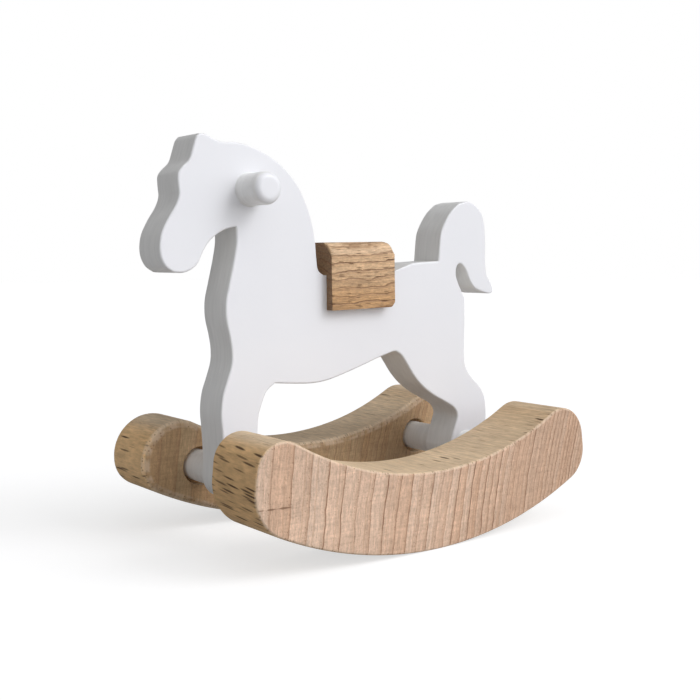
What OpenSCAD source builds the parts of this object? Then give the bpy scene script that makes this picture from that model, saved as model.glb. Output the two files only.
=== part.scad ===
// Rocking horse: a flat horse board pinned between two curved rockers, with a
// saddle over its back and a handle dowel through its head.
// Millimetres. +X is forward (the head), +Y the horse's left, +Z up. The origin
// is on the floor, under the middle of the bounding box.

/* [Horse board] */
// Thickness of the horse board
board_t = 15; // [12:0.5:20]
// Radius of each hoof, around its dowel
hoof_r = 8.5; // [8:0.25:9]

/* [Rockers] */
// Thickness of each rocker along Y
rocker_t = 26.5; // [20:0.5:32]
// Clear distance between the two rockers
rocker_gap = 46.5; // [42:0.5:60]
// Height of a rocker at mid-length
rocker_h = 27.5; // [25:0.5:32]
// Radius of the running edge, which rolls on the floor
running_r = 156; // [150:1:170]
// Radius of the hollow top edge
hollow_r = 119; // [114:1:124]

/* [Rocker ends] */
// Distance of the left rocker's front end from the middle of the rockers
left_front_x = 75.4; // [73:0.1:78]
// Lean of that end: how far its top is turned inwards
left_front_lean = 6; // [0:1:10]
// Radius of its upper corner
left_front_upper_r = 10; // [8:0.5:11]
// Radius of its lower corner
left_front_lower_r = 16; // [10:0.5:20]
// Distance of the right rocker's front end from the middle of the rockers
right_front_x = 75.6; // [73:0.1:78]
// Lean of that end: how far its top is turned inwards
right_front_lean = -2; // [-4:1:4]
// Radius of its upper corner
right_front_upper_r = 15; // [9:0.5:15]
// Radius of its lower corner
right_front_lower_r = 11; // [8:0.5:11]
// Distance of each rear end from the middle of the rockers
rear_x = 75.1; // [73:0.1:78]
// Lean of the rear ends: how far their tops are turned inwards
rear_lean = 8; // [0:1:10]
// Radius of the upper corner of the rear ends
rear_upper_r = 12; // [8:0.5:13]
// Radius of the lower corner of the rear ends
rear_lower_r = 12; // [8:0.5:14]

/* [Hoof dowels] */
// Diameter of the dowel through each hoof
dowel_d = 11.6; // [9:0.2:13]
// Distance of each hoof dowel from the middle of the rockers
dowel_x = 52.5; // [50:0.5:54]
// Height of the hoof dowels' axes above the floor
dowel_z = 24.5; // [22:0.5:26]
// How deep each hoof dowel enters its rocker
dowel_depth = 18; // [12:1:19]
// Diameter of the shallow recess around each hoof dowel
recess_d = 15; // [14:0.2:17]
// Depth of that recess
recess_depth = 4; // [2:0.5:8]

/* [Handle dowel] */
// Diameter of the dowel through the head
handle_d = 11; // [8:0.5:13]
// Tip-to-tip length of the handle dowel
handle_l = 40; // [34:1:60]
// Radius of the rounding at each tip
handle_tip_r = 2.5; // [1:0.25:3]

/* [Saddle] */
// Length of the saddle along the back
saddle_l = 29.4; // [24:0.2:31]
// Thickness of the wood above the back
saddle_top_t = 11.8; // [8:0.2:14]
// Thickness of each flap
saddle_flap_t = 3.6; // [2.6:0.2:5]
// How far the flaps hang below the seat
saddle_drop = 12.6; // [8:0.2:18]
// Radius of the long top edges
saddle_top_r = 6; // [2:0.5:7]
// Radius of the upper corner at the saddle's rear
saddle_upper_r = 2; // [1:0.5:4]
// Radius of the lower corner at the saddle's rear
saddle_lower_r = 2.5; // [0.5:0.5:4]
// Tilt of the seat and the saddle, the rear being the higher
seat_tilt = 0.8; // [0:0.1:3]

/* [Hidden] */

// Points of a curve per stretch between two outline points
curve_steps = 3;
// Segments of a circle
round_fn = 96;

// Middle of the seat, front end of the seat and rear end of the seat, in X and Z
seat_mid = [2.5, 94.5];
seat_half = 15.3;
seat_front = seat_mid + seat_half * [cos(seat_tilt), -sin(seat_tilt)];
seat_rear = seat_mid - seat_half * [cos(seat_tilt), -sin(seat_tilt)];

// Axis of the handle dowel in X and Z
handle_at = [49, 123.8];

// Centre of each hoof in X and Z
front_hoof = [dowel_x, dowel_z];
rear_hoof = [-dowel_x, dowel_z];

// Length of a hoof dowel
dowel_l = rocker_gap + 2 * dowel_depth;

// A point of a smooth curve that runs from b to c, with neighbours a and d
function curve_point(a, b, c, d, t) =
    (2 * b + (c - a) * t + (2 * a - 5 * b + 4 * c - d) * t * t
    + (3 * b - a - 3 * c + d) * t * t * t) / 2;

// A smooth curve through the points of p
function curve(p) = [
    for (i = [0 : len(p) - 2])
        for (k = [0 : curve_steps - 1])
            curve_point(p[max(i - 1, 0)], p[i], p[i + 1],
                        p[min(i + 2, len(p) - 1)], k / curve_steps),
    p[len(p) - 1]];

// Points on a circle about c, from angle a0 to angle a1
function arc(c, r, a0, a1, n) =
    [for (i = [0 : n]) c + r * [cos(a0 + (a1 - a0) * i / n), sin(a0 + (a1 - a0) * i / n)]];

// The horse's outline, stretch by stretch, in X from the middle of the rockers
// and Z from the floor. Two stretches meet at a corner.

// Front wall of the seat, crest of the neck and poll
crest = curve([
    seat_front + [0.2, 0], [20.4, 96.2], [21.2, 101], [21.9, 108], [24.2, 116.8], [28.5, 125.2],
    [34.2, 131.3], [40.7, 135.5], [48, 138.4], [54, 139.5], [59, 139.3], [62.5, 140.1],
    [65.5, 141.4], [68, 141.6]]);

// Forehead, brow, nose and muzzle
face = curve([
    [68, 141.6], [69.4, 140], [70.6, 136.6], [72, 132.8], [74.6, 130.3], [76.2, 128],
    [76.2, 124.4], [76, 121.2], [77.4, 117.6], [80.2, 113.4], [82.6, 108.8], [83.4, 104.4],
    [82.9, 100.8], [81.2, 97.9], [78.4, 96.1]]);

// Chin, jaw and throat
jaw = curve([
    [78.4, 96.1], [74.8, 96], [71.7, 97.1], [69.2, 99.2], [67.5, 102.5], [65.4, 105.6],
    [62.3, 108.3], [58.7, 110.2], [54.5, 111.2]]);

// Chest and front of the front leg, down to the hoof
chest = curve([
    [54.5, 111.2], [54.5, 106], [55.7, 99.6], [57.6, 92], [59, 86], [59, 80], [57.8, 74.5],
    [57, 69.5], [57.2, 64.5], [59, 59], [60.8, 54], [61.6, 48], [61.2, 41], [60.8, 33],
    front_hoof + [hoof_r, 0]]);

// Round bottom of the front hoof
front_hoof_round = arc(front_hoof, hoof_r, -12, -168, 14);

// Back of the front leg, up to the belly
front_leg_back = curve([
    front_hoof - [hoof_r, 0], [45.6, 31], [46.7, 38], [46.5, 45], [44.9, 50.2], [42.8, 54.4],
    [39.5, 56.8]]);

// Belly
belly = curve([
    [39.5, 56.8], [32, 56.1], [24, 55.6], [17, 56.1], [9, 58], [1, 60.3], [-8, 63.1], [-15.4, 65]]);

// Front of the rear leg, with its hock
rear_leg_front = curve([
    [-15.4, 65], [-18.6, 63], [-21.7, 59], [-24.9, 54.7], [-29.2, 50.4], [-35.1, 46.3],
    [-41.5, 43], [-46, 40.4], [-48, 37.2], [-47, 33.4], [-45.2, 29],
    rear_hoof + [hoof_r, 0]]);

// Round bottom of the rear hoof
rear_hoof_round = arc(rear_hoof, hoof_r, -12, -150, 12);

// Back of the rear leg and buttock
rear_leg_back = curve([
    [-61.8, 22], [-63.4, 28], [-64.2, 35], [-63.6, 42], [-61.2, 47.1], [-56.8, 51.2], [-53.1, 55.6],
    [-51.8, 61], [-51.8, 68], [-52, 76], [-51.8, 84.4]]);

// Notch between rump and tail
notch = curve([
    [-51.8, 84.4], [-48.8, 89.2], [-47.1, 93.4], [-47.4, 96.6], [-48.9, 97.9], [-50.7, 97.1],
    [-52.5, 94.8], [-54.4, 91.2], [-57, 88.2], [-61, 86.5], [-65.6, 85.6]]);

// Tip and back of the tail
tail_back = curve([
    [-65.6, 85.6], [-67.6, 86.6], [-66.4, 90], [-64.2, 93.4], [-63.4, 98.4], [-63.3, 106],
    [-62.8, 112.6], [-61.2, 117.8], [-57.9, 120.9], [-53.4, 122.6], [-48.5, 121.6]]);

// Front of the tail, down to the back
tail_front = curve([
    [-48.5, 121.6], [-44.5, 118.6], [-41.2, 114.5], [-38.8, 110], [-38, 104.6], [-37.5, 99]]);

// Croup, between the tail and the seat
croup = curve([
    [-37.5, 99], [-31, 98.7], [-24.6, 98.3], [-20.6, 97.2], [-17.4, 96.2], seat_rear]);

horse_outline = concat(crest, face, jaw, chest, front_hoof_round, front_leg_back, belly,
                       rear_leg_front, rear_hoof_round, rear_leg_back, notch, tail_back,
                       tail_front, croup);

// Centres of the running edge and of the hollow top edge of a rocker, in X and Z
running_c = [0, running_r];
hollow_c = [0, rocker_h + hollow_r];

// Height at which the distance of a rocker's end is measured
end_z = 27;

// Each end of a rocker: distance, lean, radius of the upper corner, of the lower one
left_front_end = [left_front_x, left_front_lean, left_front_upper_r, left_front_lower_r];
right_front_end = [right_front_x, right_front_lean, right_front_upper_r, right_front_lower_r];
rear_end = [rear_x, rear_lean, rear_upper_r, rear_lower_r];

// Direction from one point to another
function direction(from, to) = atan2(to[1] - from[1], to[0] - from[0]);

// Centre of a corner of radius r that touches the straight part of an end, and
// whose distance from the centre c of the long edge it meets is d
function corner_centre(end, r, c, d) =
    let(across = [cos(end[1]), sin(end[1])],
        along = [sin(end[1]), -cos(end[1])],
        reach = ([end[0], end_z] - c) * across - r)
    c + reach * across + sqrt(pow(d, 2) - pow(reach, 2)) * along;

// One end of a rocker, turned forwards, from its running edge to its hollow edge
function rocker_end(end) =
    let(upper_c = corner_centre(end, end[2], hollow_c, hollow_r + end[2]),
        lower_c = corner_centre(end, end[3], running_c, running_r - end[3]))
    concat(
        arc(lower_c, end[3], direction(running_c, lower_c), end[1], 14),
        arc(upper_c, end[2], end[1], direction(upper_c, hollow_c), 20));

// The same end turned to the rear, from the hollow edge to the running edge
function turned_back(p) = [for (i = [len(p) - 1 : -1 : 0]) [-p[i][0], p[i][1]]];

// Outline of a rocker: running edge, front end, hollow top edge and rear end
function rocker_outline(front, rear) =
    let(f = rocker_end(front),
        r = turned_back(rocker_end(rear)))
    concat(
        arc(running_c, running_r, direction(running_c, r[len(r) - 1]),
            direction(running_c, f[0]), 60),
        f,
        arc(hollow_c, hollow_r, direction(hollow_c, f[len(f) - 1]),
            direction(hollow_c, r[0]), 48),
        r);
left_outline = rocker_outline(left_front_end, rear_end);
right_outline = rocker_outline(right_front_end, rear_end);

// The muzzle is the foremost point and the rockers' ends the rearmost, so this
// shift puts the middle of the bounding box over the origin.
muzzle_x = max([for (p = horse_outline) p[0]]);
heel_x = min([for (p = left_outline) p[0]]);
shift_x = -(heel_x + muzzle_x) / 2;

// A flat board of thickness t, whose outline is drawn in X and Z
module board(outline, t) {
    rotate([90, 0, 0])
        linear_extrude(height = t, center = true)
            polygon(outline);
}

// A cylinder along Y about the point at, in X and Z
module cross_cylinder(at, d, l) {
    translate([at[0], 0, at[1]])
        rotate([90, 0, 0])
            cylinder(d = d, h = l, center = true, $fn = round_fn);
}

// The horse, from one board, drilled for its three dowels
module horse_body() {
    color("ghostwhite")
        translate([shift_x, 0, 0])
            difference() {
                board(horse_outline, board_t);
                cross_cylinder(front_hoof, dowel_d, 2 * board_t);
                cross_cylinder(rear_hoof, dowel_d, 2 * board_t);
                cross_cylinder(handle_at, handle_d, 2 * board_t);
            }
}

// Half of the handle dowel's section: radius outwards, length upwards
module handle_section() {
    flat_r = handle_d / 2 - handle_tip_r;
    half_l = handle_l / 2;
    tip_c = [flat_r, half_l - handle_tip_r];
    square([handle_d / 2, half_l - handle_tip_r]);
    square([flat_r, half_l]);
    intersection() {
        translate(tip_c)
            circle(r = handle_tip_r, $fn = round_fn);
        translate(tip_c)
            square(handle_tip_r);
    }
}

// The round dowel through the head, gripped as a handle on each side
module handle_dowel() {
    color("white")
        translate([shift_x + handle_at[0], 0, handle_at[1]])
            rotate([90, 0, 0])
                for (side = [0, 1])
                    mirror([0, 0, side])
                        rotate_extrude($fn = round_fn)
                            handle_section();
}

// A plain dowel through a hoof, into both rockers
module hoof_dowel(at) {
    color("white")
        translate([shift_x, 0, 0])
            cross_cylinder(at, dowel_d, dowel_l);
}

module front_dowel() {
    hoof_dowel(front_hoof);
}

module rear_dowel() {
    hoof_dowel(rear_hoof);
}

// A rocker on the side where Y has the sign of side, with two blind stepped holes
module rocker(side, outline) {
    translate([shift_x, 0, 0])
        difference() {
            translate([0, side * (rocker_gap + rocker_t) / 2, 0])
                board(outline, rocker_t);
            for (at = [front_hoof, rear_hoof]) {
                cross_cylinder(at, dowel_d, dowel_l);
                cross_cylinder(at, recess_d, rocker_gap + 2 * recess_depth);
            }
        }
}

module left_rocker() {
    color("burlywood")
        rocker(1, left_outline);
}

module right_rocker() {
    color("burlywood")
        rocker(-1, right_outline);
}

// The saddle's section across the back: Y outwards, Z up from the seat
module saddle_section() {
    half_w = board_t / 2 + saddle_flap_t;
    crown_w = half_w - saddle_top_r;
    difference() {
        union() {
            translate([-half_w, -saddle_drop])
                square([2 * half_w, saddle_drop + saddle_top_t - saddle_top_r]);
            translate([-crown_w, 0])
                square([2 * crown_w, saddle_top_t]);
            for (y = [-crown_w, crown_w])
                translate([y, saddle_top_t - saddle_top_r])
                    circle(r = saddle_top_r, $fn = round_fn);
        }
        translate([-board_t / 2, -2 * saddle_drop])
            square([board_t, 2 * saddle_drop]);
    }
}

// The saddle seen from its side: X along the back, Z up from the seat
saddle_side = concat(
    [[saddle_l / 2, -saddle_drop], [saddle_l / 2, saddle_top_t]],
    arc([saddle_upper_r - saddle_l / 2, saddle_top_t - saddle_upper_r],
        saddle_upper_r, 90, 180, 8),
    arc([saddle_lower_r - saddle_l / 2, saddle_lower_r - saddle_drop],
        saddle_lower_r, 180, 270, 8));

// The saddle, a grooved block that straddles the board
module saddle() {
    color("peru")
        translate([shift_x + seat_mid[0], 0, seat_mid[1]])
            rotate([0, seat_tilt, 0])
                intersection() {
                    rotate([90, 0, 90])
                        linear_extrude(height = saddle_l, center = true)
                            saddle_section();
                    board(saddle_side, 2 * board_t);
                }
}

horse_body();
handle_dowel();
front_dowel();
rear_dowel();
left_rocker();
right_rocker();
saddle();
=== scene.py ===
"""Rocking horse: the looks.

Every piece is rebuilt from its CAD node's own outline, with rounded edges, and takes
a procedural material. Lengths are in metres, in the CAD's frame: +X is the head, +Y
the horse's left, +Z up, and the floor is at Z = 0.
"""
import math

import bmesh
import bpy
from mathutils import Matrix, Vector


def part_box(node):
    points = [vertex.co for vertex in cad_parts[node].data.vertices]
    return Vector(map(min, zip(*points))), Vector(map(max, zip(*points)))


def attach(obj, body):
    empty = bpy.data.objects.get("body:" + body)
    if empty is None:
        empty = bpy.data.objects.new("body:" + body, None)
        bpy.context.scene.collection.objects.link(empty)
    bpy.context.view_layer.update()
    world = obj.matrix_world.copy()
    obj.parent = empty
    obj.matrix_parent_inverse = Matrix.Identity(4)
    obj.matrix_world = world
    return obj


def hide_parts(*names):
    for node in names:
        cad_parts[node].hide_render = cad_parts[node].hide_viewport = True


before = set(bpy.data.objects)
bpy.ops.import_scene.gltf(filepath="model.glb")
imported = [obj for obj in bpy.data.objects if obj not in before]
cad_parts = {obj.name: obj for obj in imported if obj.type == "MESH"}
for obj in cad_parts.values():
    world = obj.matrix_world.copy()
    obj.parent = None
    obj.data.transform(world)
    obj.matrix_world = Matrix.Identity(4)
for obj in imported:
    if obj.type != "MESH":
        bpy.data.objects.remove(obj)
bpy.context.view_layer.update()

MM = 0.001

# ---------------------------------------------------------------- sizes

# The CAD's tilt of the seat and saddle, the rear being the higher
SEAT_TILT = math.radians(0.8)

# Radius of the rounded edges of each piece
BODY_EDGE = 0.7 * MM
LEFT_ROCKER_EDGE = 0.9 * MM
RIGHT_ROCKER_EDGE = 2.8 * MM
SADDLE_EDGE = 0.9 * MM
HOLE_EDGE = 0.35 * MM

# Radii of the saddle's upper and lower corners at its rear
SADDLE_UPPER_R = 2 * MM
SADDLE_LOWER_R = 2.5 * MM

# Spacing and number of the extra rings of points that those corners need
SADDLE_CUT_STEP = 0.3 * MM
SADDLE_CUTS = 7

# Radius of the rounded tips of the handle and of the hoof dowels
HANDLE_TIP_R = 2.5 * MM
HOOF_TIP_R = 0.6 * MM

# How far the paint in a joint spreads out from a dowel
PAINT_FILLET = 0.35 * MM

# Depth of the shallow recess round each hoof dowel
RECESS_DEPTH = 4 * MM

# Middle of the short drying crack in the left rocker, X and Z in millimetres
LEFT_CRACK = (64, 24.3)

# Height about which the rockers' growth rings bend, and the length over which they
# grow closer together, in millimetres
ROCKER_MIDDLE_Z = 22.0
RING_SPAN = 140.0

# Distance apart of the saddle's growth lines and of the fainter ones, in millimetres
SADDLE_RING = 2.9
SADDLE_FINE_RING = 0.95

# Steps of a rounded edge, and segments round a dowel or a hole
EDGE_STEPS = 6
ROUND_SEGMENTS = 96

# Least distance between the points of an outline, for a board, a rocker and the saddle
BODY_PITCH = 0.45 * MM
ROCKER_PITCH = 0.5 * MM
SADDLE_PITCH = 0.2 * MM

# Points this near are one point, and points this near a level lie on it
WELD = 0.001 * MM
FLATNESS = 0.002 * MM

# Share of the room in a tight bend that a rounded edge may take up, and how many
# times its radii are evened out along the outline
EDGE_SHARE = 0.8
EDGE_PASSES = 6

# A bend sharper than this is a corner that smoothing leaves alone
CORNER = math.radians(28)

# Faces that meet more sharply than this are shaded as a sharp edge
SHARP_EDGE = math.radians(50)


# ---------------------------------------------------------------- outlines

def flat_loops(node, axis, high, turn=None):
    """Closed loops round the node's flat end at the high or low limit of an axis.

    Each loop is a list of 3-D points. turn is applied to the mesh first.
    """
    bm = bmesh.new()
    bm.from_mesh(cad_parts[node].data)
    if turn is not None:
        bm.transform(turn)
    bmesh.ops.remove_doubles(bm, verts=bm.verts, dist=WELD)
    values = [v.co[axis] for v in bm.verts]
    level = max(values) if high else min(values)
    ends = {f for f in bm.faces if all(abs(v.co[axis] - level) < FLATNESS for v in f.verts)}
    rim = [e for e in bm.edges if sum(f in ends for f in e.link_faces) == 1]
    nearby = {}
    for edge in rim:
        a, b = edge.verts
        nearby.setdefault(a, []).append(b)
        nearby.setdefault(b, []).append(a)
    loops, seen = [], set()
    for start in nearby:
        if start in seen:
            continue
        loop, here, last = [], start, None
        while here not in seen:
            seen.add(here)
            loop.append(here.co.copy())
            onward = [v for v in nearby[here] if v is not last and v not in seen]
            last = here
            if onward:
                here = onward[0]
        loops.append(loop)
    bm.free()
    return loops


def area_of(loop):
    """Signed area of a loop of 2-D points, positive when it runs anticlockwise."""
    total = 0.0
    for a, b in zip(loop, loop[1:] + loop[:1]):
        total += a[0] * b[1] - b[0] * a[1]
    return total / 2


def anticlockwise(loop):
    return loop if area_of(loop) > 0 else loop[::-1]


def outer_loop(loops, u, v):
    """The largest of the loops, as anticlockwise 2-D points in the axes u and v."""
    flat = [[Vector((p[u], p[v])) for p in loop] for loop in loops]
    return anticlockwise(max(flat, key=lambda loop: abs(area_of(loop))))


def bend(a, b, c):
    """The angle by which a path turns at b."""
    return (b - a).angle(c - b, 0.0)


def smoothed(loop, steps):
    """The loop with each stretch split into steps along a smooth curve, corners kept."""
    count = len(loop)
    sharp = [bend(loop[i - 1], loop[i], loop[(i + 1) % count]) > CORNER for i in range(count)]
    out = []
    for i in range(count):
        b, c = loop[i], loop[(i + 1) % count]
        a = loop[i - 1] if not sharp[i] else b + (b - c)
        d = loop[(i + 2) % count] if not sharp[(i + 1) % count] else c + (c - b)
        for k in range(steps):
            t = k / steps
            out.append(0.5 * (2 * b + (c - a) * t + (2 * a - 5 * b + 4 * c - d) * t * t
                              + (3 * b - a - 3 * c + d) * t ** 3))
    return out


def even(loop, pitch):
    """The loop with points nearer than pitch to the last kept one left out."""
    out = [loop[0]]
    for p in loop[1:]:
        if (p - out[-1]).length >= pitch:
            out.append(p)
    if (out[-1] - out[0]).length < pitch:
        out.pop()
    return out


def inward(loop):
    """Unit normals into an anticlockwise loop, one at each point."""
    normals = []
    for i, p in enumerate(loop):
        along = (p - loop[i - 1]).normalized() + (loop[(i + 1) % len(loop)] - p).normalized()
        along.normalize()
        normals.append(Vector((-along[1], along[0])))
    return normals


def edge_radii(loop, normals, radius):
    """The radius of the rounded edge at each point, less where the loop is too tight."""
    room = []
    for p, n in zip(loop, normals):
        fit = radius / EDGE_SHARE
        for q in loop:
            d = q - p
            reach = n.dot(d)
            if reach > WELD / 10:
                fit = min(fit, d.length_squared / (2 * reach))
        room.append(EDGE_SHARE * fit)
    count = len(loop)
    for _ in range(EDGE_PASSES):
        lowest = [min(room[i - 1], room[i], room[(i + 1) % count]) for i in range(count)]
        room = [(lowest[i - 1] + 2 * lowest[i] + lowest[(i + 1) % count]) / 4
                for i in range(count)]
    return room


# ---------------------------------------------------------------- mesh making

def finish_mesh(bm, name, wear, place=None):
    """Makes an object of bm, smooth-shaded, with the wear attribute for its edges."""
    bmesh.ops.recalc_face_normals(bm, faces=bm.faces)
    for face in bm.faces:
        face.smooth = True
    if place is not None:
        bm.transform(place)
    for edge in bm.edges:
        edge.smooth = edge.calc_face_angle(0.0) < SHARP_EDGE
    mesh = bpy.data.meshes.new(name)
    worn = [wear.get(v, 0.0) for v in bm.verts]
    bm.to_mesh(mesh)
    bm.free()
    attribute = mesh.attributes.new("edge_wear", "FLOAT", "POINT")
    attribute.data.foreach_set("value", worn)
    piece = bpy.data.objects.new(name, mesh)
    bpy.context.scene.collection.objects.link(piece)
    shading = piece.modifiers.new("face_weighted_normals", "WEIGHTED_NORMAL")
    shading.weight = 100
    shading.keep_sharp = True
    return piece


def ring(bm, points):
    return [bm.verts.new(p) for p in points]


def bridge(bm, a, b):
    """A band of quads between two closed rings of as many vertices."""
    for i in range(len(a)):
        j = (i + 1) % len(a)
        bm.faces.new((a[i], a[j], b[j], b[i]))


def loop_edges(bm, verts):
    return [bm.edges.get((a, b)) or bm.edges.new((a, b))
            for a, b in zip(verts, verts[1:] + verts[:1])]


def circle(centre, radius):
    """Anticlockwise 2-D points on a circle."""
    step = 2 * math.pi / ROUND_SEGMENTS
    return [centre + radius * Vector((math.cos(step * i), math.sin(step * i)))
            for i in range(ROUND_SEGMENTS)]


def rounded_rim(bm, loop, normals, radii, level, side, wear):
    """Rings of one end's rounded edge, from the side wall to the flat end."""
    rings = []
    for k in range(EDGE_STEPS + 1):
        angle = math.pi / 2 * k / EDGE_STEPS
        points = []
        for p, n, r in zip(loop, normals, radii):
            q = p + n * r * (1 - math.cos(angle))
            points.append((q[0], q[1], level - side * r * (1 - math.sin(angle))))
        rings.append(ring(bm, points))
        if 0 < k < EDGE_STEPS:
            for v in rings[-1]:
                wear[v] = 1.0
    return rings


def slab(name, loop, low, high, radius, holes=(), place=None, cuts=(), press=None):
    """A slab with the given outline in u and v, from low to high along w.

    Its edges are rounded. holes are (centre, at_high, [(radius, depth), ...]), a blind
    stepped hole in one end, or (centre, None, radius), a hole right through. cuts are
    levels of w at which its walls are split, and press moves each of its points.
    """
    normals = inward(loop)
    radii = edge_radii(loop, normals, radius)
    bm = bmesh.new()
    wear = {}
    lower = rounded_rim(bm, loop, normals, radii, low, -1, wear)
    upper = rounded_rim(bm, loop, normals, radii, high, 1, wear)
    walls = [ring(bm, [(p[0], p[1], level) for p in loop]) for level in cuts]
    for a, b in zip([lower[0]] + walls, walls + [upper[0]]):
        bridge(bm, a, b)
    for rings in (lower, upper):
        for a, b in zip(rings, rings[1:]):
            bridge(bm, a, b)
    mouths = {False: loop_edges(bm, lower[-1]), True: loop_edges(bm, upper[-1])}

    def mouth(centre, r, at_high, edge):
        """A hole's mouth, its edge softened; returns the ring where its wall begins."""
        level, side = (high, 1) if at_high else (low, -1)
        rings = []
        for k in range(3 if edge else 1):
            angle = math.pi / 4 * k
            out = edge * (1 - math.sin(angle))
            down = edge * (1 - math.cos(angle))
            rings.append(ring(bm, [(c[0], c[1], level - side * down)
                                   for c in circle(centre, r + out)]))
        for a, b in zip(rings, rings[1:]):
            bridge(bm, a, b)
        mouths[at_high].extend(loop_edges(bm, rings[0]))
        return rings[-1]

    for centre, at_high, shape in holes:
        if at_high is None:
            bridge(bm, mouth(centre, shape, False, 0), mouth(centre, shape, True, 0))
            continue
        level, side = (high, 1) if at_high else (low, -1)
        last = mouth(centre, shape[0][0], at_high, HOLE_EDGE)
        for i, (r, depth) in enumerate(shape):
            if i:
                step = ring(bm, [(c[0], c[1], level - side * shape[i - 1][1])
                                 for c in circle(centre, r)])
                bridge(bm, last, step)
                last = step
            wall = ring(bm, [(c[0], c[1], level - side * depth) for c in circle(centre, r)])
            bridge(bm, last, wall)
            last = wall
        bm.faces.new(last)
    for edges in mouths.values():
        bmesh.ops.triangle_fill(bm, edges=edges, use_beauty=True)
    if press is not None:
        for v in bm.verts:
            v.co = press(v.co)
        bmesh.ops.dissolve_degenerate(bm, dist=FLATNESS, edges=bm.edges)
        wear = {v: worn for v, worn in wear.items() if v.is_valid}
    return finish_mesh(bm, name, wear, place)


def turned(name, profile, place):
    """A solid of revolution about w, from (radius, w) points that start and end on it."""
    bm = bmesh.new()
    first = bm.verts.new((0, 0, profile[0][1]))
    last = bm.verts.new((0, 0, profile[-1][1]))
    rings = [ring(bm, [(c[0], c[1], w) for c in circle(Vector((0, 0)), r)])
             for r, w in profile[1:-1]]
    for a, b in zip(rings, rings[1:]):
        bridge(bm, a, b)
    for i in range(ROUND_SEGMENTS):
        j = (i + 1) % ROUND_SEGMENTS
        bm.faces.new((first, rings[0][j], rings[0][i]))
        bm.faces.new((last, rings[-1][i], rings[-1][j]))
    return finish_mesh(bm, name, {}, place)


# Local axes: u and v are X and Z for what is cut from a board, with w along Y
BOARD_AXES = Matrix(((1, 0, 0, 0), (0, 0, 1, 0), (0, 1, 0, 0), (0, 0, 0, 1)))


# ---------------------------------------------------------------- materials

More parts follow.
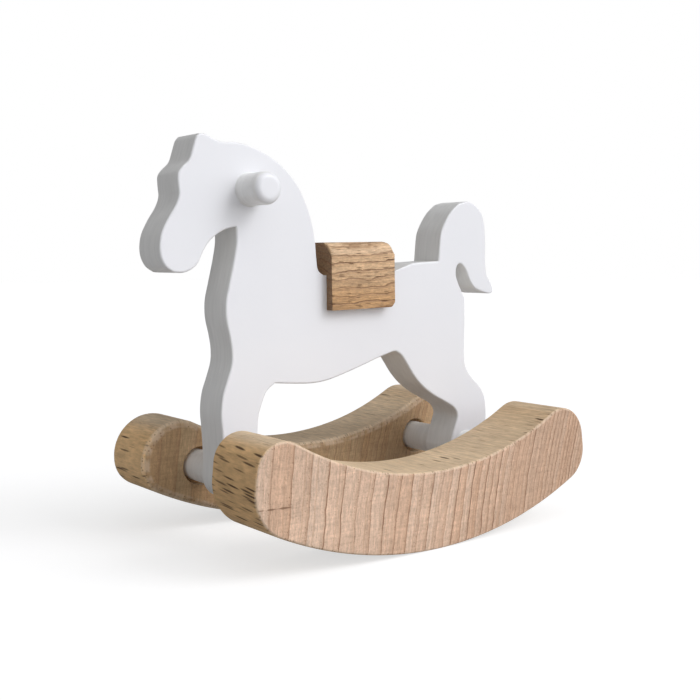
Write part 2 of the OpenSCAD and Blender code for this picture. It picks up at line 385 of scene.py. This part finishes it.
class Shader:
    """A material under construction. Its methods add a node and return its output."""

    def __init__(self, name):
        self.material = bpy.data.materials.new(name)
        self.material.use_nodes = True
        self.tree = self.material.node_tree
        self.tree.nodes.clear()
        self.output = self.tree.nodes.new("ShaderNodeOutputMaterial")
        self.surface = self.tree.nodes.new("ShaderNodeBsdfPrincipled")
        self.tree.links.new(self.surface.outputs[0], self.output.inputs["Surface"])
        where = self.tree.nodes.new("ShaderNodeTexCoord")
        self.millimetres = self.scaled(where.outputs["Object"], (1 / MM,) * 3)
        self.x, self.y, self.z = self.split(self.millimetres)
        self.normal = self.split(where.outputs["Normal"])

    def put(self, socket, value):
        if isinstance(value, bpy.types.NodeSocket):
            self.tree.links.new(value, socket)
        else:
            socket.default_value = value

    def node(self, kind, **settings):
        made = self.tree.nodes.new(kind)
        for key, value in settings.items():
            setattr(made, key, value)
        return made

    def math(self, operation, a, b=0.0, c=0.0, clamp=False):
        made = self.node("ShaderNodeMath", operation=operation, use_clamp=clamp)
        for socket, value in zip(made.inputs, (a, b, c)):
            self.put(socket, value)
        return made.outputs[0]

    def add(self, *terms):
        total = terms[0]
        for term in terms[1:]:
            total = self.math("ADD", total, term)
        return total

    def times(self, *factors):
        product = factors[0]
        for factor in factors[1:]:
            product = self.math("MULTIPLY", product, factor)
        return product

    def rise(self, value, low, high):
        """0 below low, 1 above high, and a smooth rise between; falls if low > high."""
        made = self.node("ShaderNodeMapRange", interpolation_type="SMOOTHSTEP")
        for name, number in (("Value", value), ("From Min", low), ("From Max", high)):
            self.put(made.inputs[name], number)
        return made.outputs[0]

    def span(self, value, low, high):
        """A 0 to 1 value stretched to run from low to high."""
        return self.math("MULTIPLY_ADD", value, high - low, low)

    def split(self, vector):
        made = self.node("ShaderNodeSeparateXYZ")
        self.put(made.inputs[0], vector)
        return tuple(made.outputs)

    def join(self, x, y, z):
        made = self.node("ShaderNodeCombineXYZ")
        for socket, value in zip(made.inputs, (x, y, z)):
            self.put(socket, value)
        return made.outputs[0]

    def scaled(self, vector, factors):
        made = self.node("ShaderNodeVectorMath", operation="MULTIPLY")
        self.put(made.inputs[0], vector)
        self.put(made.inputs[1], factors)
        return made.outputs[0]

    def cells(self, sizes, shift=0.0):
        """Object coordinates in units of a cell of the given sizes, in millimetres."""
        made = self.node("ShaderNodeVectorMath", operation="ADD")
        self.put(made.inputs[0], self.scaled(self.millimetres, tuple(1 / s for s in sizes)))
        self.put(made.inputs[1], (shift, shift * 1.7, shift * 2.3))
        return made.outputs[0]

    def noise(self, sizes, shift=0.0, detail=2.0, roughness=0.5):
        """Noise from 0 to 1, about 0.5, with features of the given sizes in millimetres."""
        made = self.node("ShaderNodeTexNoise", normalize=True)
        self.put(made.inputs["Vector"], self.cells(sizes, shift))
        self.put(made.inputs["Scale"], 1.0)
        self.put(made.inputs["Detail"], detail)
        self.put(made.inputs["Roughness"], roughness)
        return made.outputs[0]

    def fibre(self, across, sizes, shift=0.0):
        """Noise drawn out along the growth rings, whose distance is across."""
        made = self.node("ShaderNodeTexNoise", normalize=True)
        cell = self.scaled(self.join(across, self.y, self.z), tuple(1 / s for s in sizes))
        moved = self.node("ShaderNodeVectorMath", operation="ADD")
        self.put(moved.inputs[0], cell)
        self.put(moved.inputs[1], (shift, shift * 1.7, shift * 2.3))
        self.put(made.inputs["Vector"], moved.outputs[0])
        self.put(made.inputs["Scale"], 1.0)
        self.put(made.inputs["Detail"], 3.0)
        self.put(made.inputs["Roughness"], 0.6)
        return made.outputs[0]

    def flecks(self, sizes, radius, share, shift=0.0, slope=0.0):
        """A mask of scattered flecks: cells of these sizes, a share of which hold one.

        slope is how far the flecks drop in Z for each step along Y.
        """
        made = self.node("ShaderNodeTexVoronoi", feature="F1")
        cells = self.cells(sizes, shift)
        if slope:
            drop = self.node("ShaderNodeVectorMath", operation="ADD")
            self.put(drop.inputs[0], cells)
            self.put(drop.inputs[1], self.join(0.0, 0.0, self.times(self.y, slope / sizes[2])))
            cells = drop.outputs[0]
        self.put(made.inputs["Vector"], cells)
        self.put(made.inputs["Scale"], 1.0)
        self.put(made.inputs["Randomness"], 0.9)
        near = self.rise(made.outputs["Distance"], radius, radius * 0.45)
        chosen = self.split(made.outputs["Color"])
        return self.times(near, self.math("LESS_THAN", chosen[0], share)), chosen[1]

    def chance(self, value, shift=0.0):
        """A random number from 0 to 1 for each whole number that value passes."""
        made = self.node("ShaderNodeTexWhiteNoise", noise_dimensions="1D")
        whole = self.math("FLOOR", value)
        self.put(made.inputs["W"], self.math("ADD", whole, shift))
        return made.outputs["Value"]

    def blend(self, factor, a, b, kind="MIX"):
        made = self.node("ShaderNodeMix", data_type="RGBA", blend_type=kind)
        self.put(made.inputs["Factor"], factor)
        colours = [s for s in made.inputs if s.type == "RGBA"]
        self.put(colours[0], a)
        self.put(colours[1], b)
        return [s for s in made.outputs if s.type == "RGBA"][0]

    def shade(self, colour, factor):
        """The colour, brighter or darker by a factor."""
        grey = self.join(factor, factor, factor)
        return self.blend(1.0, colour, grey, "MULTIPLY")

    def vary(self, colour, noise, amount):
        """The colour, varied in brightness by a noise about 0.5."""
        return self.shade(colour, self.span(noise, 1 - amount / 2, 1 + amount / 2))

    def attribute(self, name):
        return self.node("ShaderNodeAttribute", attribute_name=name).outputs["Fac"]

    def bump(self, height, depth_mm, strength=1.0):
        made = self.node("ShaderNodeBump")
        self.put(made.inputs["Height"], height)
        self.put(made.inputs["Distance"], depth_mm * MM)
        self.put(made.inputs["Strength"], strength)
        self.put(self.surface.inputs["Normal"], made.outputs[0])

    def set(self, **values):
        for name, value in values.items():
            self.put(self.surface.inputs[name.replace("_", " ")], value)


def rgb(red, green, blue):
    return (red, green, blue, 1.0)


def white_paint(name, shift):
    """Satin white paint over smooth wood: a faint mottle and a fine brushed surface."""
    s = Shader(name)
    mottle = s.noise((26, 26, 26), shift, 2)
    colour = s.blend(mottle, rgb(0.795, 0.80, 0.825), rgb(0.83, 0.832, 0.85))

    # The sawn edges of the board are paler and warmer than its faces, with streaks of painted
    # highlight along them; the gloss varies along the same streaks
    sawn = s.rise(s.math("ABSOLUTE", s.normal[1]), 0.75, 0.35)
    highlight_streaks = s.noise((3.5, 1.3, 16), shift + 2, 3)
    colour = s.blend(s.times(sawn, 0.7), colour, rgb(0.86, 0.855, 0.825))
    colour = s.shade(colour, s.span(s.times(sawn, s.math("SUBTRACT", highlight_streaks, 0.5)), 1.0, 1.22))
    worn = s.times(s.attribute("edge_wear"), s.noise((5, 5, 5), shift + 3, 2))
    colour = s.blend(s.times(worn, 0.4), colour, rgb(0.87, 0.87, 0.865))
    orange_peel = s.noise((1.1, 1.1, 1.1), shift + 5, 2)
    brushed = s.noise((6, 0.9, 6), shift + 8, 2)
    gloss = s.add(s.span(s.noise((9, 9, 9), shift + 1, 2), 0.34, 0.46),
                  s.times(sawn, s.span(highlight_streaks, -0.10, 0.10)))
    s.set(Base_Color=colour, Roughness=gloss, Specular_IOR_Level=0.45)
    s.bump(s.add(s.times(orange_peel, 0.5), s.times(brushed, 0.5)), 0.035)
    return s.material


def rocker_rings(s, shift, middle_x):
    """The rockers' growth rings: the distance across them in millimetres, each ring's
    number, how many there are to a millimetre, and how far on the next one is."""
    along = s.math("SUBTRACT", s.x, middle_x / MM)
    height = s.math("SUBTRACT", s.z, ROCKER_MIDDLE_Z)

    # The rings are bent, and they waver
    lean = s.times(height, s.span(s.rise(along, 65, -70), 0.12, 0.27))
    bow = s.times(height, height, 0.0010)
    waver = s.times(s.math("SUBTRACT", s.noise((50, 160, 50), shift, 2), 0.5), 4.5)
    ripple = s.times(s.math("SUBTRACT", s.noise((3, 40, 4), shift + 2, 2), 0.5), 1.0)
    across = s.add(along, lean, bow, waver, ripple)

    # They are nearly 8 mm apart in front, and under 2 mm at the rear. The number is the sum
    # of the density along the rocker.
    back = s.math("DIVIDE", s.math("SUBTRACT", RING_SPAN / 2, across), RING_SPAN)
    back_cubed = s.times(back, back, back)
    density = s.add(0.13, s.times(back, 0.10), s.times(back_cubed, 0.40))
    number = s.times(RING_SPAN, s.add(s.times(back, 0.13), s.times(back, back, 0.05),
                                      s.times(back_cubed, back, 0.10)))
    gap = s.math("DIVIDE", s.math("SUBTRACT", 1.0, s.math("FRACT", number)), density)
    return across, number, density, gap


def ring_marks(s, shift, colour, rings, shown):
    """The rings drawn over colour, as strongly as shown; also where their lines are."""
    _, number, density, gap = rings
    late = s.times(s.rise(gap, 2.8, 0.2), s.rise(gap, 0.0, 0.15))
    line = s.times(s.rise(gap, 0.75, 0.18), s.rise(gap, 0.0, 0.12))

    # Fainter lines between the rings
    fine_number = s.times(number, 3.0)
    fine_gap = s.math("DIVIDE", s.math("SUBTRACT", 1.0, s.math("FRACT", fine_number)),
                      s.times(density, 3.0))
    fine = s.times(s.rise(fine_gap, 0.8, 0.2), s.rise(s.chance(fine_number, shift + 9), 0.3, 0.8))

    ring_dark = rgb(0.25, 0.125, 0.062)
    ring_mid = rgb(0.42, 0.235, 0.135)
    odds = s.chance(number, shift)
    uneven = s.span(s.noise((3, 30, 7), shift + 23, 3), 0.2, 1.5)
    strength = s.times(s.add(0.30, s.times(s.rise(odds, 0.35, 0.95), 0.75)), uneven, shown)
    colour = s.blend(s.times(late, shown, 0.34), colour, ring_mid)
    colour = s.blend(s.times(fine, shown, 0.34), colour, ring_mid)
    return s.blend(s.math("MULTIPLY", line, strength, clamp=True), colour, ring_dark), line


def sanded_edges(s, shift, colour):
    """Edges a little paler than colour, with specks where the pores are torn."""
    edge = s.attribute("edge_wear")
    worn = s.times(edge, s.rise(s.noise((3, 5, 3), shift + 41, 2), 0.30, 0.62))
    colour = s.blend(s.times(worn, 0.45), colour, rgb(0.80, 0.63, 0.46))
    torn, _ = s.flecks((1.0, 1.0, 1.0), 0.46, 0.34, shift + 43)
    return s.blend(s.times(torn, edge, 0.6), colour, rgb(0.26, 0.14, 0.07))


def drying_crack(s, shift, colour, crack, end_grain):
    """A short dark crack over colour, nearly level, about the X and Z of crack."""
    reach = s.math("SUBTRACT", s.x, crack[0])
    off = s.math("ABSOLUTE", s.math("SUBTRACT", s.add(s.z, s.times(reach, -0.04)), crack[1]))
    jog = s.times(s.math("SUBTRACT", s.noise((3, 9, 9), shift + 47, 2), 0.5), 1.2)
    split = s.times(s.rise(s.math("ABSOLUTE", s.add(off, jog)), 0.42, 0.10),
                    s.rise(s.math("ABSOLUTE", reach), 7.0, 5.0), end_grain)
    return s.blend(s.times(split, 0.75), colour, rgb(0.17, 0.085, 0.04))


def rocker_colour(s, number, broad, end_grain, ray_ends, shift, shade_and_light_tones):
    """The wood's plain colour, which differs between sides, top and ends. The top is paler and less
    saturated: painted sheen from overhead light.
    """
    ring_tone = s.chance(number, shift + 4)
    end_tone = s.blend(ring_tone, rgb(0.625, 0.415, 0.285), rgb(0.665, 0.485, 0.36))
    # The top's paler tone is painted sheen from overhead light
    painted_sheen_top_tone = s.blend(broad, rgb(0.61, 0.45, 0.28), rgb(0.69, 0.53, 0.35))
    front_tone = s.blend(broad, rgb(0.66, 0.405, 0.18), rgb(0.80, 0.53, 0.27))
    side_tone = s.blend(ray_ends, painted_sheen_top_tone, front_tone)
    # Tones that paint shade on the end grain and light on the other faces
    end_tone = s.blend(1.0, end_tone, shade_and_light_tones[0], "MULTIPLY")
    side_tone = s.blend(1.0, side_tone, shade_and_light_tones[1], "MULTIPLY")
    return s.blend(end_grain, side_tone, end_tone)


def rocker_wood(name, shift, middle_x, shade_and_light_tones, grain_show, dash_slope, crack=None):
    """Pale hardwood with its fibres along Y, so that the sides show end grain.

    Growth rings stand nearly upright on the sides, wide apart in front and close
    together at the rear. Rays are short dark dashes along Y on the ends. The shade and
    light tones multiply the colours of the end grain and of the other faces, painting
    shade and light on them; grain_show is how strongly the rings and dashes show,
    dash_slope how far the dashes drop in Z for each step along Y, and crack is the X
    and Z of a short drying crack.
    """
    s = Shader(name)
    rings = rocker_rings(s, shift, middle_x)
    across, number, _, gap = rings

    # End grain shows on the sides, and rays end on at the front and rear
    end_grain = s.rise(s.math("ABSOLUTE", s.normal[1]), 0.55, 0.85)
    ray_ends = s.rise(s.math("ABSOLUTE", s.normal[0]), 0.30, 0.80)

    broad = s.noise((30, 60, 22), shift + 11, 3)
    streak = s.fibre(across, (0.55, 9, 5), shift + 13)
    mottle = s.noise((1.3, 7, 2.4), shift + 15, 3, 0.65)
    speckle = s.noise((0.6, 4, 0.55), shift + 17, 2, 0.7)
    ray = s.noise((12, 40, 0.8), shift + 19, 2, 0.6)
    colour = rocker_colour(s, number, broad, end_grain, ray_ends, shift, shade_and_light_tones)
    colour = s.vary(colour, broad, 0.35)
    colour = s.vary(colour, streak, 0.80)
    colour = s.vary(colour, mottle, 0.55)
    colour = s.vary(colour, speckle, 0.40)
    colour = s.vary(colour, s.span(s.times(s.math("SUBTRACT", ray, 0.5), end_grain), 0.5, 1.5), 0.4)

    # Rings hardly show on the top and the ends
    shown = s.times(s.span(end_grain, 0.22, 1.0), grain_show)
    colour, line = ring_marks(s, shift, colour, rings, shown)

    # Pores crowd along the rings
    pores, _ = s.flecks((0.85, 7, 0.85), 0.42, 0.45, shift + 29)
    pores = s.times(pores, s.add(0.35, s.times(s.rise(gap, 2.4, 0.0), 0.65)))
    colour = s.blend(s.times(pores, 0.40), colour, rgb(0.30, 0.165, 0.085))

    # Rays show as dashes on the ends, and here and there on the top
    share = s.times(s.span(ray_ends, 0.06, 0.72), grain_show)
    dashes, darkness = s.flecks((1.5, 11.5, 0.95), 0.44, share, shift + 31, dash_slope)
    dashes = s.times(dashes, s.span(end_grain, 1.0, 0.0))
    colour = s.blend(s.times(dashes, s.span(darkness, 0.60, 1.0)), colour,
                     rgb(0.115, 0.058, 0.024))
    colour = sanded_edges(s, shift, colour)
    if crack is not None:
        colour = drying_crack(s, shift, colour, crack, end_grain)

    grain = s.add(s.times(streak, 0.5), s.times(mottle, 0.3), s.times(speckle, 0.35),
                  s.times(line, -0.6), s.times(pores, -0.8), s.times(dashes, -1.2))
    s.set(Base_Color=colour, Roughness=s.span(speckle, 0.50, 0.74), Specular_IOR_Level=0.35)
    s.bump(grain, 0.16)
    return s.material


def saddle_wood(name, shift):
    """Golden brown hardwood with its fibres along X and darker wavy growth lines."""
    s = Shader(name)
    wave = s.times(s.math("SUBTRACT", s.noise((17, 7, 6), shift, 2), 0.5), 4.0)
    ripple = s.times(s.math("SUBTRACT", s.noise((4, 2, 1.4), shift + 2, 3), 0.5), 1.2)
    across = s.add(s.z, s.times(s.math("ABSOLUTE", s.y), 0.22), s.times(s.x, 0.05), wave, ripple)
    number = s.times(across, 1 / SADDLE_RING)
    odds = s.chance(number, shift)
    gap = s.times(s.math("SUBTRACT", 1.0, s.math("FRACT", number)), SADDLE_RING)
    late = s.times(s.rise(gap, 1.7, 0.2), s.rise(gap, 0.0, 0.12))
    line = s.times(s.rise(gap, 0.72, 0.25), s.rise(gap, 0.0, 0.12))
    fine_number = s.times(across, 1 / SADDLE_FINE_RING)
    fine = s.times(s.rise(s.math("FRACT", fine_number), 0.35, 0.85),
                   s.rise(s.chance(fine_number, shift + 3), 0.3, 0.9))

    end_grain = s.rise(s.math("ABSOLUTE", s.normal[0]), 0.55, 0.85)
    painted_sheen_upward = s.rise(s.normal[2], 0.05, 0.75)

    broad = s.noise((26, 10, 6), shift + 5, 3)
    streak = s.noise((7, 0.55, 0.5), shift + 7, 3, 0.65)
    mottle = s.noise((2.6, 1.1, 0.9), shift + 8, 3, 0.6)
    speckle = s.noise((1.0, 0.5, 0.45), shift + 9, 2, 0.7)
    # The sides are darker towards the bottom, and faces turned up are paler: painted sheen from
    # overhead light
    low = s.rise(s.z, 97, 84)
    side_tone = s.blend(low, rgb(0.60, 0.395, 0.225), rgb(0.475, 0.275, 0.125))
    side_tone = s.blend(s.times(painted_sheen_upward, 0.6), side_tone, rgb(0.72, 0.52, 0.335))
    colour = s.blend(end_grain, side_tone, rgb(0.25, 0.15, 0.08))
    colour = s.vary(colour, broad, 0.7)
    colour = s.vary(colour, streak, 1.25)
    colour = s.vary(colour, mottle, 0.9)
    colour = s.vary(colour, speckle, 0.7)

    patchy = s.rise(s.noise((8, 4, 2.5), shift + 13, 2), 0.34, 0.60)
    strength = s.times(s.span(s.rise(odds, 0.2, 0.8), 0.35, 1.0), s.span(patchy, 0.35, 1.0))
    late_brown, dark_brown = rgb(0.30, 0.15, 0.06), rgb(0.15, 0.068, 0.022)
    colour = s.blend(s.times(late, 0.38), colour, late_brown)
    colour = s.blend(s.times(fine, patchy, 0.35), colour, late_brown)
    colour = s.blend(s.math("MULTIPLY", line, strength, clamp=True), colour, dark_brown)
    pores, _ = s.flecks((4.2, 0.8, 0.62), 0.40, 0.34, shift + 17)
    colour = s.blend(s.times(pores, 0.6), colour, rgb(0.14, 0.065, 0.022))
    worn = s.times(s.attribute("edge_wear"), s.rise(s.noise((3, 3, 3), shift + 19, 2), 0.35, 0.6))
    colour = s.blend(s.times(worn, 0.35), colour, rgb(0.68, 0.47, 0.27))

    grain = s.add(s.times(streak, 0.7), s.times(speckle, 0.3), s.times(line, -0.6),
                  s.times(pores, -0.9))
    s.set(Base_Color=colour, Roughness=s.span(streak, 0.42, 0.66), Specular_IOR_Level=0.4)
    s.bump(grain, 0.18)
    return s.material


# ---------------------------------------------------------------- pieces

def dress(piece, node, material):
    """Puts a piece in its CAD node's place, with its finish."""
    piece.data.materials.append(material)
    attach(piece, "root")
    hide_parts(node)
    return piece


def dowel_hole(node):
    """Where a cross dowel passes, in X and Z, and its radius."""
    low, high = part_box(node)
    middle = (low + high) / 2
    return Vector((middle.x, middle.z)), (high.x - low.x) / 2


def make_body():
    low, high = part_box("horse_body")
    loop = outer_loop(flat_loops("horse_body", 1, True), 0, 2)
    loop = even(smoothed(loop, 2), BODY_PITCH)
    holes = []
    for node in ("handle_dowel", "front_dowel", "rear_dowel"):
        centre, radius = dowel_hole(node)
        holes.append((centre, None, radius))
    body = slab("horse_board", loop, low.y, high.y, BODY_EDGE, holes, BOARD_AXES)
    dress(body, "horse_body", white_paint("white_paint_board", 0.0))


def make_dowel(node, name, tip, shift):
    """A white dowel through the board, with rounded tips and paint in its joints."""
    low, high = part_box(node)
    radius = (high.x - low.x) / 2
    half = (high.y - low.y) / 2
    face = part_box("horse_body")[1].y
    end = [(radius * share, half) for share in (0.15, 0.4)]
    steps = EDGE_STEPS * 2
    for k in range(steps + 1):
        angle = math.pi / 2 * k / steps
        end.append((radius - tip * (1 - math.sin(angle)), half - tip * (1 - math.cos(angle))))
    joint = [(radius, face + 2 * PAINT_FILLET), (radius + 0.3 * PAINT_FILLET, face + PAINT_FILLET),
             (radius + PAINT_FILLET, face + 0.1 * PAINT_FILLET),
             (radius + PAINT_FILLET, face - 0.2 * PAINT_FILLET), (radius, face - PAINT_FILLET)]
    upper = end + joint
    profile = [(0.0, -half)] + [(r, -w) for r, w in upper]
    profile += [(r, w) for r, w in reversed(upper)] + [(0.0, half)]
    centre = (low + high) / 2
    place = Matrix.Translation((centre.x, 0, centre.z)) @ BOARD_AXES
    dowel = turned(name, profile, place)
    dress(dowel, node, white_paint("white_paint_" + name, shift))


def make_rocker(node, name, inner_is_low, edge, shift, shade_and_light_tones, grain_show, dash_slope,
                crack=None):
    """A rocker, with its two blind stepped holes in the inner side."""
    low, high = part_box(node)
    loop = outer_loop(flat_loops(node, 1, inner_is_low), 0, 2)
    loop = even(smoothed(loop, 2), ROCKER_PITCH)
    mouths = flat_loops(node, 1, not inner_is_low)
    flat = [[Vector((p.x, p.z)) for p in mouth] for mouth in mouths]
    flat.sort(key=lambda mouth: abs(area_of(mouth)))
    recess_r = max((p - flat[0][0]).length for p in flat[0]) / 2
    holes = []
    for dowel in ("front_dowel", "rear_dowel"):
        centre, radius = dowel_hole(dowel)
        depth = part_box(dowel)[1].y - (low.y if inner_is_low else -high.y)
        shape = [(recess_r - HOLE_EDGE, RECESS_DEPTH), (radius, depth)]
        holes.append((centre, not inner_is_low, shape))
    rocker = slab(name, loop, low.y, high.y, edge, holes, BOARD_AXES)
    middle_x = (low.x + high.x) / 2
    material = rocker_wood("wood_" + name, shift, middle_x, shade_and_light_tones, grain_show, dash_slope,
                           crack)
    dress(rocker, node, material)


def make_saddle():
    """The saddle's section, swept along the seat, with its rear corners rounded."""
    low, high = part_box("saddle")
    centre = (low + high) / 2
    level = Matrix.Rotation(-SEAT_TILT, 4, "Y") @ Matrix.Translation(-centre)
    loops = flat_loops("saddle", 0, True, level)
    half = max(p.x for p in loops[0])
    loop = even(smoothed(outer_loop(loops, 1, 2), 2), SADDLE_PITCH)
    top = max(p[1] for p in loop)
    bottom = min(p[1] for p in loop)

    def drawn_in(w, radius):
        """How far a corner of this radius at the rear has drawn in the edge at w."""
        into = max(radius - (w + half), 0.0)
        return radius - math.sqrt(max(radius * radius - into * into, 0.0))

    def press(p):
        v = min(p[1], top - drawn_in(p[2], SADDLE_UPPER_R))
        return Vector((p[0], max(v, bottom + drawn_in(p[2], SADDLE_LOWER_R)), p[2]))

    cuts = [-half + SADDLE_EDGE + (k + 1) * SADDLE_CUT_STEP for k in range(SADDLE_CUTS)]
    lengthwise = Matrix(((0, 0, 1, 0), (1, 0, 0, 0), (0, 1, 0, 0), (0, 0, 0, 1)))
    saddle = slab("grooved_saddle", loop, -half, half, SADDLE_EDGE,
                  place=level.inverted() @ lengthwise, cuts=cuts, press=press)
    dress(saddle, "saddle", saddle_wood("wood_saddle", 3.0))


# What the colours of each rocker's end grain and of its other faces are multiplied by. The left
# rocker's stay as they are. The right rocker's end grain is painted darker and yellower as shade,
# and its other faces paler and bluer as painted light
LEFT_TONES = (rgb(1, 1, 1), rgb(1, 1, 1))
RIGHT_PAINTED_SHADE_AND_LIGHT = (rgb(0.78, 0.74, 0.56), rgb(1.15, 1.18, 1.24))

make_body()
make_dowel("handle_dowel", "head_handle", HANDLE_TIP_R, 20.0)
make_dowel("front_dowel", "front_cross_dowel", HOOF_TIP_R, 31.0)
make_dowel("rear_dowel", "rear_cross_dowel", HOOF_TIP_R, 37.0)
make_rocker("left_rocker", "left_runner", True, LEFT_ROCKER_EDGE, 0.0,
            LEFT_TONES, 1.0, 0.09, LEFT_CRACK)
make_rocker("right_rocker", "right_runner", False, RIGHT_ROCKER_EDGE, 57.0,
            RIGHT_PAINTED_SHADE_AND_LIGHT, 0.5, 0.0)
make_saddle()


# ---------------------------------------------------------------- stage

# Where the camera stands, how far it turns from looking along -Y, how far it looks
# down, and its lens in millimetres
CAMERA_AT = Vector((0.2382, 0.3144, 0.1012))
CAMERA_YAW = math.radians(37.55)
CAMERA_PITCH = math.radians(5.1)
CAMERA_ROLL = math.radians(-0.3)
CAMERA_LENS = 54.2

# The floor's grey, the glow that whitens it to the camera, and the even light
FLOOR_RADIUS = 4.0
FLOOR_GREY = 0.48
FLOOR_GLOW = 0.64
AMBIENT = 0.257

# Each sun's name, angle round from +Y towards +X, height, strength and softness, with
# the angles in degrees
SUNS = (
    ("low_light", -40, 20, 0.408, 60),
    ("key_light", -35, 38, 0.280, 30),
    ("front_light", 20, 38, 0.222, 80),
    ("top_light", -30, 60, 0.128, 60),
)
LIGHT_COLOUR = (0.985, 0.99, 1.02)


def make_floor():
    """A plain floor, a grey table to the object and nearly white to the camera."""
    bm = bmesh.new()
    bmesh.ops.create_circle(bm, cap_ends=True, segments=64, radius=FLOOR_RADIUS)
    mesh = bpy.data.meshes.new("floor")
    bm.to_mesh(mesh)
    bm.free()
    floor = bpy.data.objects.new("floor", mesh)
    bpy.context.scene.collection.objects.link(floor)
    material = bpy.data.materials.new("pale_floor")
    material.use_nodes = True
    tree = material.node_tree
    surface = tree.nodes["Principled BSDF"]
    surface.inputs["Roughness"].default_value = 0.9
    surface.inputs["Specular IOR Level"].default_value = 0.0
    surface.inputs["Base Color"].default_value = rgb(FLOOR_GREY, FLOOR_GREY, FLOOR_GREY)
    surface.inputs["Emission Color"].default_value = rgb(1, 1, 1)
    path = tree.nodes.new("ShaderNodeLightPath")
    glow = tree.nodes.new("ShaderNodeMath")
    glow.operation = "MULTIPLY"
    glow.inputs[1].default_value = FLOOR_GLOW
    tree.links.new(path.outputs["Is Camera Ray"], glow.inputs[0])
    tree.links.new(glow.outputs[0], surface.inputs["Emission Strength"])
    mesh.materials.append(material)


def make_world(ambient):
    """Even light from all round, and white behind the object."""
    world = bpy.data.worlds.new("studio")
    bpy.context.scene.world = world
    world.use_nodes = True
    tree = world.node_tree
    background = tree.nodes["Background"]
    path = tree.nodes.new("ShaderNodeLightPath")
    strength = tree.nodes.new("ShaderNodeMapRange")
    tree.links.new(path.outputs["Is Camera Ray"], strength.inputs["Value"])
    strength.inputs["To Min"].default_value = ambient
    strength.inputs["To Max"].default_value = 1.0
    background.inputs["Color"].default_value = rgb(1, 1, 1)
    tree.links.new(strength.outputs["Result"], background.inputs["Strength"])


def make_sun(name, turn, height, strength, softness):
    """A distant soft light, which stands turn degrees round and height degrees up."""
    turn, height = math.radians(turn), math.radians(height)
    towards = Vector((math.sin(turn) * math.cos(height), math.cos(turn) * math.cos(height),
                      math.sin(height)))
    light = bpy.data.lights.new(name, "SUN")
    light.energy = strength * math.pi
    light.color = LIGHT_COLOUR
    light.angle = math.radians(softness)
    lamp = bpy.data.objects.new(name, light)
    bpy.context.scene.collection.objects.link(lamp)
    lamp.rotation_mode = "QUATERNION"
    lamp.rotation_quaternion = towards.to_track_quat("Z", "Y")


def make_camera():
    """Seen from the horse's left front, from just above its back."""
    camera = bpy.data.cameras.new("camera")
    camera.sensor_width = 36.0
    camera.lens = CAMERA_LENS
    camera.clip_start = 0.01
    holder = bpy.data.objects.new("camera", camera)
    bpy.context.scene.collection.objects.link(holder)
    turn = Matrix.Rotation(math.pi - CAMERA_YAW, 4, "Z")
    tilt = Matrix.Rotation(math.pi / 2 - CAMERA_PITCH, 4, "X")
    roll = Matrix.Rotation(CAMERA_ROLL, 4, "Z")
    holder.matrix_world = Matrix.Translation(CAMERA_AT) @ turn @ tilt @ roll
    bpy.context.scene.camera = holder


make_floor()
make_world(AMBIENT)
for sun in SUNS:
    make_sun(*sun)
make_camera()
bpy.context.scene.view_settings.view_transform = "Standard"
